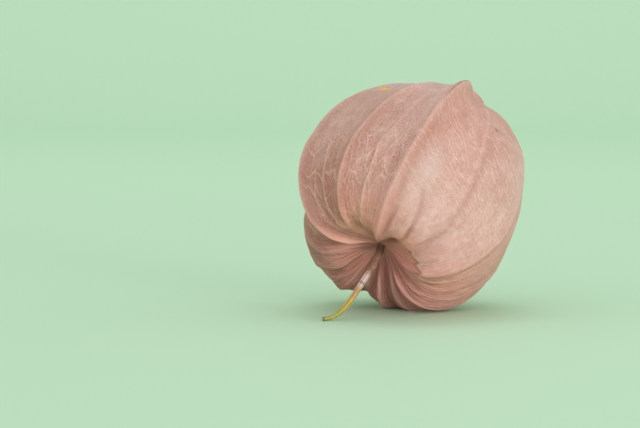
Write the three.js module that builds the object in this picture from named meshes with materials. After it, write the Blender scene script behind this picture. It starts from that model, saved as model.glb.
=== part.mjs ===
// A dried Chinese lantern: the papery, hollow husk of a Physalis, lying on its side on a flat
// surface, with the short curved stalk that it was picked on. Millimetres, +Z up; the origin is
// on the surface, under the middle of the object.
import * as THREE from 'three';

// ---- driving dimensions ------------------------------------------------------------------
// The husk in its own frame: +Z runs from the stalk to the pointed tip, and longitudes are
// degrees about +Z, from 0 on the underside. A place on it is (column, up): ribs lie at whole
// columns, and up runs from 0 where the stalk joins to 1 at the point.
const BELLY_RADIUS = 23.9;
const BASE_LENGTH = 19.8;        // widest ring to the base, before the base is sunken
const TIP_LENGTH = 30;           // widest ring to the foot of the point
const POINT_LENGTH = 3.5;
const SHOULDER_SQUARENESS = 2.2;
const SHOULDER_ROUNDNESS = 0.7;
const PIT_DEPTH = 8.4;           // how far the base is sunken where the stalk joins
const PIT_RADIUS = 9;
const TIP_LEAN = 4.4;            // the point leans sideways by this much
const TIP_LEAN_TOWARDS = 233;    // degrees
const TIP_BEND = 1.5;            // and its very end bends by this much more
const TIP_BEND_TOWARDS = 339;    // degrees
const WALL = 0.9;
const MOUTH_WALL = 0.65;
const MOUTH_UP = 0.95;           // where the husk ends in five teeth round its small mouth
const TOOTH_UP = 0.012;          // how far the teeth and the clefts depart from that

// How the husk lies: its axis runs off to the back right, and upwards.
const AXIS_AZIMUTH = 59.6;       // degrees from +X
const AXIS_RISE = 41.8;          // degrees above the surface
const HUSK_CENTRE = new THREE.Vector3(-2.2, -0.7, 21.85);   // middle of its widest ring

// The ten ribs in order, weak and strong in turn; the strong ones end in the teeth.
// angle: longitude at WANDER_UP; wander: degrees from stalk to point; crest: how far the rib
// stands out from the round body; keel: height of its sharp edge.
const RIBS = [
  { angle: 17, wander: 5, crest: 0.1, keel: 0.4 },
  { angle: 50, wander: -6, crest: 0.4, keel: 0.5 },
  { angle: 93, wander: 0, crest: -1.6, keel: 0.4 },
  { angle: 142, wander: 16, crest: 0.5, keel: 0.6 },
  { angle: 175, wander: 35, crest: -1.0, keel: 0.6 },
  { angle: 209, wander: 8, crest: 0.4, keel: 1.1 },
  { angle: 244, wander: -16, crest: -1.1, keel: 0.2 },
  { angle: 278, wander: -16, crest: 0.7, keel: 0.2 },
  { angle: 304, wander: -26, crest: -0.7, keel: 0.15 },
  { angle: 331, wander: -18, crest: 0.5, keel: 0.3 },
];
const WANDER_UP = 0.4;
// The ten panels, each from the rib of the same place in the list to the next one.
// sag: how far it sinks between its ribs, or bulges if below 0; pleat: its extra fold near the
// stalk.
const PANELS = [
  { sag: 0.9, pleat: 1.4 },
  { sag: -1.1, pleat: 0.6 },
  { sag: 2.5, pleat: 1.0 },
  { sag: 1.4, pleat: 0.9 },
  { sag: 1.1, pleat: 0.9 },
  { sag: 0.4, pleat: 0.4 },
  { sag: -0.3, pleat: 0.4 },
  { sag: 0.1, pleat: 0.25 },
  { sag: 0.1, pleat: 0.3 },
  { sag: 0.1, pleat: 1.4 },
];
const PLEAT_UP = 0.13;           // the pleats are deepest here, and fade this far either side:
const PLEAT_SPREAD = 0.1;
const MIDDLE_FOLD = 0.7;         // a fold stands up along each pleat, by this share of its depth
const MIDDLE_FOLD_WIDTH = 0.13;  // half its width, in columns
const KEEL_HALF_WIDTH = 1.4;
// Single folds and dents, each round a middle place. reach: half its length, in units up;
// width: half its width, in columns; height: how far it stands out, or sinks if below 0.
const FOLDS = [
  { column: 0.5, up: 0.24, reach: 0.08, width: 0.11, height: -1.4 },
  { column: 1.42, up: 0.19, reach: 0.07, width: 0.1, height: -0.9 },
  { column: 4.5, up: 0.78, reach: 0.1, width: 0.4, height: 0.8 },
  { column: 5, up: 0.09, reach: 0.055, width: 0.18, height: -0.5 },
  { column: 5.5, up: 0.91, reach: 0.045, width: 0.6, height: 1 },
  { column: 5.55, up: 0.08, reach: 0.03, width: 0.14, height: -0.6 },
  { column: 6.9, up: 0.165, reach: 0.025, width: 0.15, height: 0.4 },
  { column: 9.75, up: 0.2, reach: 0.07, width: 0.1, height: -0.7 },
];
// The inner skin stays this far below the pleats, so that it clears the dents.
const DENT_ROOM = 1.2;
const MID_VEIN = 0.3;            // height of the vein up the middle of each panel
const SIDE_VEIN = 0.22;          // height of the veins that climb from the ribs to it
const SIDE_VEIN_SPACING = 5;     // rows from one side vein to the next

// The stalk: its middle line from the bottom of the pit down to the surface.
const STALK_ROUTE = [
  [-6.75, -8.5, 13.75], [-7.2, -9.8, 12.3], [-8.3, -11.2, 10.3], [-9.7, -12.7, 8.3],
  [-11.1, -14.1, 6.2], [-12.5, -15.4, 4.2], [-13.9, -16.5, 2.5], [-15.3, -17.4, 1.25],
  [-16.5, -18.0, 0.66], [-17.6, -18.5, 0.44],
];
const STALK_RADIUS = 0.65;
const STALK_ROOT_FLARE = 0.3;    // the stalk thickens by this much where it meets the husk
const STALK_CUT_TAPER = 0.2;     // and thins by this much towards its cut end
const STALK_FURROWS = 5;
const STALK_FURROW_DEPTH = 0.05;

// Facets.
const PANEL_COLUMNS = 10;
const OUTER_ROWS = 42;
const INNER_ROWS = 16;
const STALK_SIDES = 15;
const STALK_RINGS = 26;

// ---- helpers -----------------------------------------------------------------------------
const RADIANS = Math.PI / 180;
const TURN = 360;

function mix(a, b, share) {
  return a + (b - a) * share;
}

function smoothstep(from, to, value) {
  return THREE.MathUtils.smoothstep(value, from, to);
}

function bell(distance) {
  return Math.exp(-distance * distance);
}

// ---- husk --------------------------------------------------------------------------------
// The round body before any rib: radius and height of its outline at a given place up.
function bodyOutline(up) {
  if (up < 0.5) {
    const radius = BELLY_RADIUS * Math.sin(Math.PI * up);
    const height = -BASE_LENGTH * Math.cos(Math.PI * up) + PIT_DEPTH * bell(radius / PIT_RADIUS);
    return new THREE.Vector2(radius, height);
  }
  const climb = Math.min(-Math.cos(Math.PI * up), 1);
  const radius = BELLY_RADIUS * (1 - climb ** SHOULDER_SQUARENESS) ** SHOULDER_ROUNDNESS;
  return new THREE.Vector2(radius, TIP_LENGTH * climb + POINT_LENGTH * smoothstep(0.88, 1, up));
}

// The outward direction square to that outline.
function bodyNormal(up) {
  const step = 0.001;
  const along = bodyOutline(Math.min(up + step, 1)).sub(bodyOutline(Math.max(up - step, 0)));
  return new THREE.Vector2(along.y, -along.x).normalize();
}

// The panel that a column lies in: its two ribs, and how far across it the column is.
function panelAt(column) {
  const index = Math.floor(column) % RIBS.length;
  const next = (index + 1) % RIBS.length;
  const shift = next === 0 ? TURN : 0;
  return { panel: PANELS[index], left: RIBS[index], right: RIBS[next], shift, across: column % 1 };
}

function ribLongitude(rib, up) {
  return rib.angle + rib.wander * (up - WANDER_UP);
}

function longitude(column, up) {
  const { left, right, shift, across } = panelAt(column);
  return mix(ribLongitude(left, up), ribLongitude(right, up) + shift, across) * RADIANS;
}

// Ribs start a little out from the stalk, and fade out towards the point.
function ribFade(up) {
  return smoothstep(0.01, 0.1, up) * smoothstep(0, 0.2, 1 - up);
}

// How far the ribs' crests and the sagging panels between them stand out from the round body.
function broadRelief(column, up) {
  const { panel, left, right, across } = panelAt(column);
  const arch = 4 * across * (1 - across);
  const fade = Math.sin(Math.PI * up) ** 0.6 * smoothstep(0, 0.12, up) * smoothstep(0, 0.25, 1 - up);
  return mix(left.crest, right.crest, across) * ribFade(up) - panel.sag * arch * fade;
}

// The depth of the pleats round the stalk.
function pleatDepth(column, up) {
  const { panel, across } = panelAt(column);
  const arch = (4 * across * (1 - across)) ** 0.7;
  const fold = MIDDLE_FOLD * smoothstep(0.05, 0.14, up) * bell((across - 0.5) / MIDDLE_FOLD_WIDTH);
  return panel.pleat * (arch - fold) * bell((up - PLEAT_UP) / PLEAT_SPREAD);
}

function foldRelief(column, up) {
  const turn = RIBS.length;
  return FOLDS.reduce((sum, fold) => {
    const aside = THREE.MathUtils.euclideanModulo(column - fold.column + turn / 2, turn) - turn / 2;
    return sum + fold.height * bell(aside / fold.width) * bell((up - fold.up) / fold.reach);
  }, 0);
}

// The sharp keel along each rib.
function keelRelief(column, up) {
  const { left, right, shift, across } = panelAt(column);
  const span = (ribLongitude(right, up) + shift - ribLongitude(left, up)) * RADIANS;
  const width = span * Math.max(bodyOutline(up).x, 0.5);
  const half = Math.min(KEEL_HALF_WIDTH, 0.25 * width) + 0.05;
  const keel = left.keel * bell(across * width / half) + right.keel * bell((1 - across) * width / half);
  return keel * ribFade(up);
}

// The raised net: a vein up the middle of each panel, and side veins that climb to it.
function veinRelief(step, row) {
  const up = row / OUTER_ROWS;
  const fade = smoothstep(0.04, 0.14, up) * smoothstep(0.06, 0.3, 1 - up);
  const middle = PANEL_COLUMNS / 2;
  if (step === middle) {
    return MID_VEIN * fade;
  }
  const fromRib = Math.min(step, PANEL_COLUMNS - step);
  const onSideVein = fromRib > 0 && (row - fromRib + OUTER_ROWS) % SIDE_VEIN_SPACING === 0;
  return onSideVein ? SIDE_VEIN * fade : 0;
}

// How far the husk's axis has moved sideways at a given height.
function axisShift(height) {
  const share = Math.max((height + BASE_LENGTH) / (BASE_LENGTH + TIP_LENGTH), 0);
  const lean = new THREE.Vector2(TIP_LEAN * share ** 2.5, 0);
  const bend = new THREE.Vector2(TIP_BEND * share ** 12, 0);
  lean.rotateAround(new THREE.Vector2(), TIP_LEAN_TOWARDS * RADIANS);
  bend.rotateAround(new THREE.Vector2(), TIP_BEND_TOWARDS * RADIANS);
  return lean.add(bend);
}

// A point of the husk, moved out from the round body along its normal.
function huskPoint(column, up, relief) {
  const outline = bodyOutline(up).addScaledVector(bodyNormal(up), relief);
  const radius = Math.max(outline.x, 0);
  const turn = longitude(column, up);
  const shift = axisShift(outline.y);
  return new THREE.Vector3(
    radius * Math.cos(turn) + shift.x,
    radius * Math.sin(turn) + shift.y,
    outline.y,
  );
}

// Spaces even steps closer together towards whole numbers.
function gathered(even, strength) {
  return even - strength * Math.sin(2 * Math.PI * even) / (2 * Math.PI);
}

// Columns gather towards the ribs, where the form turns sharply.
function columnAt(step) {
  return gathered(step / PANEL_COLUMNS, 0.5);
}

// The mouth: teeth at the strong ribs, clefts at the weak ones.
function mouthUp(column) {
  return MOUTH_UP - TOOTH_UP * Math.cos(Math.PI * column);
}

function outerPoint(step, row) {
  const column = columnAt(step);
  const up = mouthUp(column) * row / OUTER_ROWS;
  const form = broadRelief(column, up) - pleatDepth(column, up) + foldRelief(column, up);
  return huskPoint(column, up, form + keelRelief(column, up) + veinRelief(step % PANEL_COLUMNS, row));
}

// The inner skin passes below the pleats and dents without folding.
function innerPoint(step, row) {
  const column = columnAt(step);
  const share = gathered(row / INNER_ROWS, 0.7);
  const up = mouthUp(column) * share;
  const room = (panelAt(column).panel.pleat + DENT_ROOM) * bell((up - 0.15) / 0.14);
  const wall = mix(MOUTH_WALL, WALL, smoothstep(0, 0.1, 1 - share));
  return huskPoint(column, up, broadRelief(column, up) - room - wall);
}

// Lays the husk down, then flattens what would reach below the surface or through the wall.
function layDown(outer, inner) {
  const place = new THREE.Matrix4().makeRotationZ(AXIS_AZIMUTH * RADIANS);
  place.multiply(new THREE.Matrix4().makeRotationY((90 - AXIS_RISE) * RADIANS));
  place.setPosition(HUSK_CENTRE);
  for (const point of outer) {
    point.applyMatrix4(place);
    point.z = Math.max(point.z, 0);
  }
  for (const point of inner) {
    point.applyMatrix4(place);
    point.z = Math.max(point.z, MOUTH_WALL);
  }
}

// A grid of points from a pole: the pole first, then a ring for each row.
function gridFromPole(pointAt, rows, steps) {
  const points = [pointAt(0, 0)];
  for (let row = 1; row <= rows; row++) {
    for (let step = 0; step < steps; step++) {
      points.push(pointAt(step, row));
    }
  }
  return points;
}

// The triangles of such a grid, facing away from the axis, or towards it if flipped. Each
// square is split along the side veins that cross it.
function gridTriangles(rows, steps, first, flipped) {
  const triangles = [];
  const at = (step, row) => first + (row === 0 ? 0 : 1 + (row - 1) * steps + (step % steps));
  const add = (a, b, c) => triangles.push(...(flipped ? [a, c, b] : [a, b, c]));
  for (let step = 0; step < steps; step++) {
    add(at(step, 0), at(step + 1, 1), at(step, 1));
    const climbs = step % PANEL_COLUMNS < PANEL_COLUMNS / 2;
    for (let row = 1; row < rows; row++) {
      const [a, b] = [at(step, row), at(step + 1, row)];
      const [c, d] = [at(step + 1, row + 1), at(step, row + 1)];
      if (climbs) {
        add(a, b, c);
        add(a, c, d);
      } else {
        add(a, b, d);
        add(b, c, d);
      }
    }
  }
  return triangles;
}

function solidGeometry(points, triangles) {
  const geometry = new THREE.BufferGeometry().setFromPoints(points);
  geometry.setIndex(triangles);
  geometry.computeVertexNormals();
  return geometry;
}

// One closed wall: the outer skin, the inner skin, and the rim round the mouth between them.
function huskGeometry() {
  const steps = RIBS.length * PANEL_COLUMNS;
  const outer = gridFromPole(outerPoint, OUTER_ROWS, steps);
  const inner = gridFromPole(innerPoint, INNER_ROWS, steps);
  layDown(outer, inner);
  const triangles = [
    ...gridTriangles(OUTER_ROWS, steps, 0, false),
    ...gridTriangles(INNER_ROWS, steps, outer.length, true),
  ];
  const outerRim = outer.length - steps;
  const innerRim = outer.length + inner.length - steps;
  for (let step = 0; step < steps; step++) {
    const next = (step + 1) % steps;
    triangles.push(outerRim + step, outerRim + next, innerRim + next);
    triangles.push(outerRim + step, innerRim + next, innerRim + step);
  }
  return solidGeometry([...outer, ...inner], triangles);
}

// ---- stalk -------------------------------------------------------------------------------
function stalkRadius(along) {
  const root = STALK_ROOT_FLARE * (1 - smoothstep(0, 0.16, along));
  const taper = STALK_CUT_TAPER * smoothstep(0.8, 1, along);
  return STALK_RADIUS + root - taper;
}

// A furrowed rod swept along its route, closed at both ends.
function stalkGeometry() {
  const route = new THREE.CatmullRomCurve3(STALK_ROUTE.map((point) => new THREE.Vector3(...point)));
  const frames = route.computeFrenetFrames(STALK_RINGS, false);
  const points = [];
  for (let ring = 0; ring <= STALK_RINGS; ring++) {
    const along = ring / STALK_RINGS;
    for (let side = 0; side < STALK_SIDES; side++) {
      const angle = 2 * Math.PI * side / STALK_SIDES;
      const radius = stalkRadius(along) - STALK_FURROW_DEPTH * (1 - Math.cos(STALK_FURROWS * angle)) / 2;
      const point = route.getPointAt(along);
      point.addScaledVector(frames.normals[ring], radius * Math.cos(angle));
      point.addScaledVector(frames.binormals[ring], radius * Math.sin(angle));
      point.z = Math.max(point.z, 0);
      points.push(point);
    }
  }
  const triangles = [];
  for (let ring = 0; ring < STALK_RINGS; ring++) {
    for (let side = 0; side < STALK_SIDES; side++) {
      const next = (side + 1) % STALK_SIDES;
      const [a, b] = [ring * STALK_SIDES + side, ring * STALK_SIDES + next];
      triangles.push(a, b, b + STALK_SIDES, a, b + STALK_SIDES, a + STALK_SIDES);
    }
  }
  const root = points.push(route.getPointAt(0)) - 1;
  const cut = points.push(route.getPointAt(1)) - 1;
  const last = STALK_RINGS * STALK_SIDES;
  for (let side = 0; side < STALK_SIDES; side++) {
    const next = (side + 1) % STALK_SIDES;
    triangles.push(root, next, side);
    triangles.push(cut, last + side, last + next);
  }
  return solidGeometry(points, triangles);
}

// ---- the object --------------------------------------------------------------------------
const huskPaper = new THREE.MeshStandardMaterial({ color: 0xc99a88, roughness: 0.82, metalness: 0 });
const stalkWood = new THREE.MeshStandardMaterial({ color: 0xb49a3c, roughness: 0.7, metalness: 0 });

const lantern = new THREE.Group();

const husk = new THREE.Mesh(huskGeometry(), huskPaper);
husk.name = 'husk';
lantern.add(husk);

const stalk = new THREE.Mesh(stalkGeometry(), stalkWood);
stalk.name = 'stalk';
lantern.add(stalk);

export default lantern;
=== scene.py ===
# %% [markdown]
# # A dried Chinese lantern
# The object is the papery, hollow husk of a Physalis, lying on its side with the short stalk
# that it was picked on. Its main forms are already there in a plain solid model. This lesson
# loads that model as a fixed frame, and grows finer pieces in its place: a husk with its
# ribs, pleats and net of veins, and a furrowed stalk with a cut end.

# %% The frame
import math

import bpy
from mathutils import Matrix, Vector


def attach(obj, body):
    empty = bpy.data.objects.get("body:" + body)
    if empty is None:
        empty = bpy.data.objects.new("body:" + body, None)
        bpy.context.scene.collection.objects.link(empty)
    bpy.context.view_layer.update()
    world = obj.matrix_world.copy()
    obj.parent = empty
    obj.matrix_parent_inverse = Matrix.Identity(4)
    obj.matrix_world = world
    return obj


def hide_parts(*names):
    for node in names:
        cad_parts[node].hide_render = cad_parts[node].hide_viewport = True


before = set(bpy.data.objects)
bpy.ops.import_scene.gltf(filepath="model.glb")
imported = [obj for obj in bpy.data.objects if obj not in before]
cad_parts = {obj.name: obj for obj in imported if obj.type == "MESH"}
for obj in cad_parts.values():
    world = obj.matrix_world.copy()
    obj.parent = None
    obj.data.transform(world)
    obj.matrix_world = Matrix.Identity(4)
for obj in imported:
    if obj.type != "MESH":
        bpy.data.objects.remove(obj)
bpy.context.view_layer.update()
BODY = "root"
MM = 0.001
print("solid nodes:", sorted(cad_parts))

# %% [markdown]
# ## Nodes written as sums
# Both the shape of the husk and its colours follow rules, and in Blender a rule is a tree of
# nodes. A small class stands for one output of a node, and Python's own operators on it add
# the Math nodes that a sum needs. A second class adds any other node: its settings first,
# because they decide which sockets it has, and then the numbers or wires for its sockets. A
# sum can then be used twice: once to raise a vein on the surface, and once to colour it.

# %% A socket that does maths
class Value:
    """One output of a node. Sums on it add Math nodes to the same tree."""

    def __init__(self, nodes, socket):
        self.nodes = nodes
        self.socket = socket

    def out(self, name):
        """Another output of the same node."""
        return Value(self.nodes, pick(self.socket.node.outputs, name))

    def maths(self, operation, *others):
        return self.nodes.maths(operation, self, *others)

    def __add__(self, other):
        return self.maths("ADD", other)

    def __sub__(self, other):
        return self.maths("SUBTRACT", other)

    def __rsub__(self, other):
        return self.nodes.maths("SUBTRACT", other, self)

    def __mul__(self, other):
        return self.maths("MULTIPLY", other)

    def __truediv__(self, other):
        return self.maths("DIVIDE", other)

    def __pow__(self, other):
        return self.maths("POWER", other)

    def __neg__(self):
        return self.maths("MULTIPLY", -1.0)

    __radd__ = __add__
    __rmul__ = __mul__


def pick(sockets, key):
    """The socket at a place in the list, or the first one in use with that name."""
    if isinstance(key, int):
        return sockets[key]
    return next(socket for socket in sockets if socket.enabled and socket.name == key)


# %% A tree that nodes are added to
class Nodes:
    """A node tree, with one method for any node, and three short ones."""

    def __init__(self, tree):
        self.tree = tree

    def add(self, kind, settings=None, sockets=None, output=0):
        node = self.tree.nodes.new(kind)
        for name, setting in (settings or {}).items():
            setattr(node, name, setting)
        for key, value in (sockets or {}).items():
            socket = pick(node.inputs, key)
            if isinstance(value, Value):
                self.tree.links.new(value.socket, socket)
            else:
                socket.default_value = value
        return Value(self, pick(node.outputs, output)) if node.outputs else None

    def maths(self, operation, *values):
        return self.add("ShaderNodeMath", {"operation": operation}, dict(enumerate(values)))

    def join(self, x, y, z):
        return self.add("ShaderNodeCombineXYZ", {}, {"X": x, "Y": y, "Z": z})

    def vector(self, operation, vector, other):
        """other: a vector to add, or the factor of a SCALE."""
        key = "Scale" if operation == "SCALE" else 1
        return self.add("ShaderNodeVectorMath", {"operation": operation}, {0: vector, key: other})


# %% Steps that come back often
def split(vector):
    return vector.nodes.add("ShaderNodeSeparateXYZ", {}, {0: vector})


def noise(place, scale, detail=2.0, seed=0.0):
    """Cloudy random values from 0 to 1. The fourth coordinate is the seed."""
    sockets = {"Vector": place, "W": seed, "Scale": scale, "Detail": detail}
    return place.nodes.add("ShaderNodeTexNoise", {"noise_dimensions": "4D"}, sockets)


def net(place, scale, width):
    """1 on the borders between random cells, 0 inside them."""
    settings = {"voronoi_dimensions": "3D", "feature": "DISTANCE_TO_EDGE"}
    border = place.nodes.add("ShaderNodeTexVoronoi", settings, {"Vector": place, "Scale": scale})
    return 1 - smooth(border, 0.0, width)


def mix(a, b, share):
    return a + (b - a) * share


def bell(value, middle, half_width):
    """1 where a value is at its middle, falling smoothly away on both sides."""
    distance = (value - middle) / half_width
    return (-(distance * distance)).maths("EXPONENT")


def smooth(value, low, high):
    """0 below low, 1 above high, and a smooth step between them."""
    sockets = {"Value": value, "From Min": low, "From Max": high, "To Min": 0.0, "To Max": 1.0}
    return value.nodes.add("ShaderNodeMapRange", {"interpolation_type": "SMOOTHSTEP"}, sockets)


def band(value, rise_from, rise_to, fall_from, fall_to):
    """1 from rise_to to fall_from, with a smooth step down to 0 on both sides."""
    return smooth(value, rise_from, rise_to) * (1 - smooth(value, fall_from, fall_to))


# %% [markdown]
# ## Running a geometry tree
# Each grown piece starts as a very plain object: a few points or one line. A geometry tree
# turns it into the full piece, with its sizes as named inputs. A modifier knows those inputs
# by their identifiers, so they are looked up by name first. The result is then kept as a
# plain mesh, because what rides on the frame should not depend on a live modifier.

# %% Running a geometry tree
def add_object(name, data):
    """A new object in the scene, at the origin."""
    thing = bpy.data.objects.new(name, data)
    bpy.context.collection.objects.link(thing)
    return thing


def new_tree(name, inputs):
    """A geometry tree with a named input for each value, and what those inputs give."""
    tree = bpy.data.node_groups.new(name, "GeometryNodeTree")
    for in_out in ("INPUT", "OUTPUT"):
        tree.interface.new_socket("Geometry", in_out=in_out, socket_type="NodeSocketGeometry")
    for label, value in inputs.items():
        kind = "NodeSocketFloat" if isinstance(value, float) else "NodeSocketMaterial"
        tree.interface.new_socket(label, in_out="INPUT", socket_type=kind)
    nodes = Nodes(tree)
    group_input = nodes.add("NodeGroupInput")
    return nodes, {label: group_input.out(label) for label in ("Geometry", *inputs)}


def store(nodes, geometry, name, value, kind="FLOAT", domain="POINT"):
    """The same geometry, with a value kept on it under a name."""
    settings = {"data_type": kind, "domain": domain}
    sockets = {"Geometry": geometry, "Name": name, "Value": value}
    return nodes.add("GeometryNodeStoreNamedAttribute", settings, sockets)


def close_tree(nodes, geometry, material):
    """The last steps of a tree: smooth shading, one plain mesh, and its material."""
    shaded = nodes.add("GeometryNodeSetShadeSmooth", {}, {"Geometry": geometry})
    real = nodes.add("GeometryNodeRealizeInstances", {}, {"Geometry": shaded})
    coated = nodes.add("GeometryNodeSetMaterial", {}, {"Geometry": real, "Material": material})
    nodes.add("NodeGroupOutput", {}, {"Geometry": coated})


def grow(name, start, nodes, inputs):
    """Runs a tree on a starting object, and gives back a plain mesh object in its place."""
    modifier = start.modifiers.new(name, "NODES")
    modifier.node_group = nodes.tree
    for item in nodes.tree.interface.items_tree:
        if item.in_out == "INPUT" and item.name in inputs:
            modifier[item.identifier] = inputs[item.name]
    depsgraph = bpy.context.evaluated_depsgraph_get()
    mesh = bpy.data.meshes.new_from_object(
        start.evaluated_get(depsgraph), preserve_all_data_layers=True, depsgraph=depsgraph
    )
    start.modifiers.remove(modifier)
    bpy.data.objects.remove(start)
    piece = add_object(name, mesh)
    while mesh.materials[0] is None:
        mesh.materials.pop(index=0)
    mesh.calc_loop_triangles()
    print(name, "has", len(mesh.loop_triangles), "triangles, in", mesh.materials[0].name)
    return piece


# %% [markdown]
# ## The husk's ribs
# Ten ribs run from the stalk to the tip, weak and strong in turn, with a panel of thin skin
# between each rib and the next. They are alike in kind and each a little different, so
# their sizes are one short table. A place on the husk is then two numbers: its column, which
# is a whole number on each rib, and up, which runs from 0 at the stalk to 1 at the point.
# The table goes into Blender as a mesh of loose points, one for each rib, whose attributes a
# geometry tree can look up by their index.

# %% The table of ribs
# angle: degrees round the husk's axis, from its underside, at WANDER_UP
# wander: how many degrees it turns from stalk to point
# crest: how far it stands out from the round body, and keel: the height of its sharp edge
# sag: how far the panel after it sinks between its ribs, or bulges if below 0
# pleat: that panel's extra fold near the stalk, and vein: how clearly its veins stand out
RIB_VALUES = ("angle", "wander", "crest", "keel", "sag", "pleat", "vein")
RIBS = [
    (17, 5, 0.1, 0.4, 0.9, 1.4, 0.3),
    (50, -6, 0.4, 0.5, -1.1, 0.6, 0.6),
    (93, 0, -1.6, 0.4, 2.5, 1.0, 0.6),
    (142, 16, 0.5, 0.6, 1.4, 0.9, 1.0),
    (175, 35, -1.0, 0.6, 1.1, 0.9, 1.0),
    (209, 8, 0.4, 1.1, 0.4, 0.4, 0.15),
    (244, -16, -1.1, 0.2, -0.3, 0.4, 0.15),
    (278, -16, 0.7, 0.2, 0.1, 0.25, 0.25),
    (304, -26, -0.7, 0.15, 0.1, 0.3, 0.25),
    (331, -18, 0.5, 0.3, 0.1, 1.4, 0.4),
]
WANDER_UP = 0.4
TURN = 360
DEGREE = math.pi / 180
COLUMN_TURN = 2 * math.pi / len(RIBS)


def rib_points():
    """A mesh of loose points with the table's values. The first rib comes again at the end."""
    again = (RIBS[0][0] + TURN, *RIBS[0][1:])
    rows = [*RIBS, again]
    mesh = bpy.data.meshes.new("ribs")
    mesh.from_pydata([(0, 0, 0)] * len(rows), [], [])
    for place, name in enumerate(RIB_VALUES):
        values = mesh.attributes.new(name, "FLOAT", "POINT")
        values.data.foreach_set("value", [float(row[place]) for row in rows])
    return add_object("ribs", mesh)


print("ribs:", len(RIBS), "with", len(RIB_VALUES), "values each")


# %% Ways round the husk
def short_way(column, middle):
    """How many columns it is from a middle to this column, the short way round."""
    return (column - middle).maths("WRAP", len(RIBS) / 2, -len(RIBS) / 2)


def on_cylinder(column, up, radius, length):
    """A place for noise to be read at, with no seam where the last column meets the first."""
    turn = column * COLUMN_TURN
    return up.nodes.join(turn.maths("COSINE") * radius, turn.maths("SINE") * radius, up * length)


# %% [markdown]
# ## The husk's round body
# Without its ribs the husk is a squat, round body that narrows to a point, and its base is
# sunken where the stalk joins. Its outline is half a circle below the widest ring, and a
# squarer shoulder above it. All lengths here are in millimetres, and the tree's last step
# scales them to metres. The direction square to the outline is found from two places a small
# step apart, because everything that follows stands out from the body along it.

# %% Outline of the round body
HUSK_SIZES = {
    "Belly radius": 23.9,
    "Base length": 19.8,
    "Tip length": 30.0,
    "Point length": 3.5,
    "Pit depth": 8.4,
    "Pit radius": 9.0,
    "Wall": 0.3,
}
SHOULDER_SQUARENESS = 2.2
SHOULDER_ROUNDNESS = 0.7
POINT_FROM_UP = 0.88
OUTLINE_STEP = 0.002


def body_outline(up, size):
    """Radius and height of the round body."""
    angle = up * math.pi
    rise = -angle.maths("COSINE")
    low_radius = size["Belly radius"] * angle.maths("SINE")
    pit = size["Pit depth"] * bell(low_radius, 0.0, size["Pit radius"])
    low_height = size["Base length"] * rise + pit
    climb = rise.maths("MAXIMUM", 0.0).maths("MINIMUM", 1.0)
    narrowing = (1 - climb ** SHOULDER_SQUARENESS) ** SHOULDER_ROUNDNESS
    high_radius = size["Belly radius"] * narrowing
    high_height = size["Tip length"] * climb + size["Point length"] * smooth(up, POINT_FROM_UP, 1.0)
    above = up.maths("GREATER_THAN", 0.5)
    return mix(low_radius, high_radius, above), mix(low_height, high_height, above)


def body_normal(up, size):
    """The outward direction square to that outline, as its two parts."""
    radius, height = body_outline((up - OUTLINE_STEP).maths("MAXIMUM", 0.0), size)
    next_radius, next_height = body_outline((up + OUTLINE_STEP).maths("MINIMUM", 1.0), size)
    run, rise = next_radius - radius, next_height - height
    length = (run * run + rise * rise) ** 0.5
    return rise / length, -(run / length)


# %% [markdown]
# ## The husk's relief
# The crests of the ribs lift that body, and the panels sag between them like cloth on a
# tent. Near the stalk each panel is gathered in deeper pleats, with small crinkles on them.
# Each rib has a sharp keel. And a list of single folds and dents gives the husk the few odd
# creases that make it this one and no other. Each is a sum of a few terms, with a fade that
# lets it start and end softly.

# %% Ribs, panels and pleats
# An UP or a COLUMN with two numbers is the middle of a form and its half width. ENDS are where
# a form begins and where it is full, first up from the stalk and then down from the point.
RIB_ENDS = (0.01, 0.1), (0.0, 0.2)
SAG_ENDS = (0.0, 0.12), (0.0, 0.25)
SAG_FULLNESS = 0.6
PLEAT_UP = (0.13, 0.1)
PLEAT_FULLNESS = 0.7
MIDDLE_FOLD = 0.7
MIDDLE_FOLD_AT = (0.5, 0.13)
MIDDLE_FOLD_FROM = (0.05, 0.14)
KEEL_HALF_WIDTH = 1.4
KEEL_SHARE = 0.25
NARROWEST_KEEL = 0.05
LEAST_RADIUS = 0.5


def fade_ends(up, from_stalk, from_point):
    """1 along the middle of the husk, 0 at the stalk and at the point."""
    return smooth(up, *from_stalk) * smooth(1 - up, *from_point)


def broad_relief(up, arch, left, right):
    crest = mix(left["crest"], right["crest"], left["across"]) * fade_ends(up, *RIB_ENDS)
    middle = (up * math.pi).maths("SINE") ** SAG_FULLNESS
    fade = middle * smooth(up, *SAG_ENDS[0]) * smooth(1 - up, *SAG_ENDS[1])
    return crest - left["sag"] * arch * fade


def pleat_relief(up, arch, left):
    """Two pleats in each panel, with a fold standing up between them."""
    fold = bell(left["across"], *MIDDLE_FOLD_AT) * smooth(up, *MIDDLE_FOLD_FROM)
    depth = arch ** PLEAT_FULLNESS - fold * MIDDLE_FOLD
    return -(left["pleat"] * depth * bell(up, *PLEAT_UP))


def keel_relief(up, radius, left, right):
    span = (right["longitude"] - left["longitude"]) * DEGREE
    width = span * radius.maths("MAXIMUM", LEAST_RADIUS)
    half = (width * KEEL_SHARE).maths("MINIMUM", KEEL_HALF_WIDTH) + NARROWEST_KEEL
    left_keel = left["keel"] * bell(left["across"] * width, 0.0, half)
    right_keel = right["keel"] * bell((1 - left["across"]) * width, 0.0, half)
    return (left_keel + right_keel) * fade_ends(up, *RIB_ENDS)


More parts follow.
